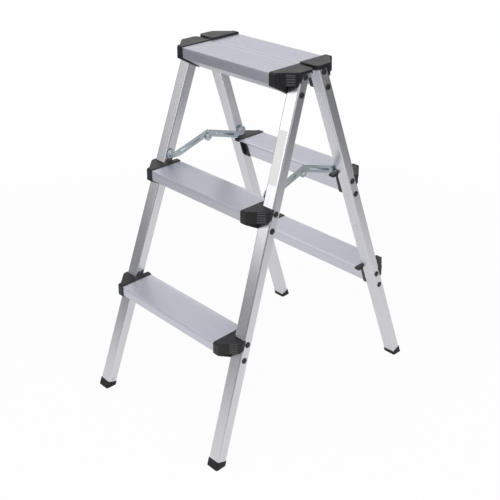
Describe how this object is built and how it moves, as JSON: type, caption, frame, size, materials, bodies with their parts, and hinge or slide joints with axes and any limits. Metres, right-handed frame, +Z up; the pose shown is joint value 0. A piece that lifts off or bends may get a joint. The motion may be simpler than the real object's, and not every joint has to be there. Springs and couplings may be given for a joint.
{
  "type": "step ladder",
  "caption": "Folding double-sided step ladder: two leaning tube frames hinged at the platform, with wide ribbed treads in moulded end connectors and jointed spreader braces.",
  "frame": {"origin": "centre of the footprint on the floor, midway between the front and rear frames", "axes": "X across the ladder, along the treads and the hinge pin; Y from the front frame to the rear frame; Z up"},
  "size_m": [0.3668, 0.543, 0.6838],
  "materials": {
    "stile_aluminium": "satin",
    "tread_aluminium": "satin anodised",
    "black_plastic": "fine moulded texture",
    "black_rubber": "matt",
    "black_steel": "black coated rivet",
    "zinc_steel": "zinc plated"
  },
  "bodies": {
    "front_frame": {"front_bottom_tread": "tread_aluminium", "front_middle_tread": "tread_aluminium", "front_top_tread": "tread_aluminium", "front_left_stile": "stile_aluminium", "front_left_bottom_connector": "black_plastic", "front_left_middle_connector": "black_plastic", "front_left_top_connector": "black_plastic", "front_left_foot": "black_rubber", "front_left_rivets": "black_steel", "front_left_brace_rivet": "zinc_steel", "front_left_brace_spacer": "zinc_steel", "front_right_stile": "stile_aluminium", "front_right_bottom_connector": "black_plastic", "front_right_middle_connector": "black_plastic", "front_right_top_connector": "black_plastic", "front_right_foot": "black_rubber", "front_right_rivets": "black_steel", "front_right_brace_rivet": "zinc_steel", "front_right_brace_spacer": "zinc_steel", "front_foot_rivets": "zinc_steel", "left_hinge_pin": "zinc_steel", "right_hinge_pin": "zinc_steel"},
    "rear_frame": {"rear_bottom_tread": "tread_aluminium", "rear_middle_tread": "tread_aluminium", "rear_top_tread": "tread_aluminium", "rear_left_stile": "stile_aluminium", "rear_left_bottom_connector": "black_plastic", "rear_left_middle_connector": "black_plastic", "rear_left_top_connector": "black_plastic", "rear_left_foot": "black_rubber", "rear_left_rivets": "black_steel", "rear_left_brace_rivet": "zinc_steel", "rear_left_brace_spacer": "zinc_steel", "rear_right_stile": "stile_aluminium", "rear_right_bottom_connector": "black_plastic", "rear_right_middle_connector": "black_plastic", "rear_right_top_connector": "black_plastic", "rear_right_foot": "black_rubber", "rear_right_rivets": "black_steel", "rear_right_brace_rivet": "zinc_steel", "rear_right_brace_spacer": "zinc_steel", "rear_foot_rivets": "zinc_steel"},
    "left_front_link": {"front_left_brace": "zinc_steel", "front_left_knee_rivet": "zinc_steel"},
    "right_front_link": {"front_right_brace": "zinc_steel", "front_right_knee_rivet": "zinc_steel"},
    "left_rear_link": {"rear_left_brace": "zinc_steel", "rear_left_knee_rivet": "zinc_steel"},
    "right_rear_link": {"rear_right_brace": "zinc_steel", "rear_right_knee_rivet": "zinc_steel"}
  },
  "joints": [
    {"name": "fold", "type": "hinge", "parent": "front_frame", "child": "rear_frame", "pos_m": [0, 0, 0.668], "axis": [-1, 0, 0], "range_deg": [0, 38.92]},
    {"name": "right_front_link", "type": "hinge", "parent": "front_frame", "child": "right_front_link", "pos_m": [0.13257, -0.09128, 0.476], "axis": [0.9989, 0.0157, 0.0444], "range_deg": [0, 49.46]},
    {"name": "left_front_link", "type": "hinge", "parent": "front_frame", "child": "left_front_link", "pos_m": [-0.13257, -0.09128, 0.476], "axis": [0.9989, -0.0157, -0.0444], "range_deg": [0, 49.46]},
    {"name": "right_rear_link", "type": "hinge", "parent": "rear_frame", "child": "right_rear_link", "pos_m": [0.13257, 0.09128, 0.476], "axis": [-0.9989, 0.0157, -0.0444], "range_deg": [0, 49.46]},
    {"name": "left_rear_link", "type": "hinge", "parent": "rear_frame", "child": "left_rear_link", "pos_m": [-0.13257, 0.09128, 0.476], "axis": [-0.9989, -0.0157, 0.0444], "range_deg": [0, 49.46]}
  ],
  "couplings": [
    {"joint": "right_front_link", "follows": "fold", "ratio": 1.2708},
    {"joint": "left_front_link", "follows": "fold", "ratio": 1.2708},
    {"joint": "right_rear_link", "follows": "fold", "ratio": 1.2708},
    {"joint": "left_rear_link", "follows": "fold", "ratio": 1.2708}
  ]
}
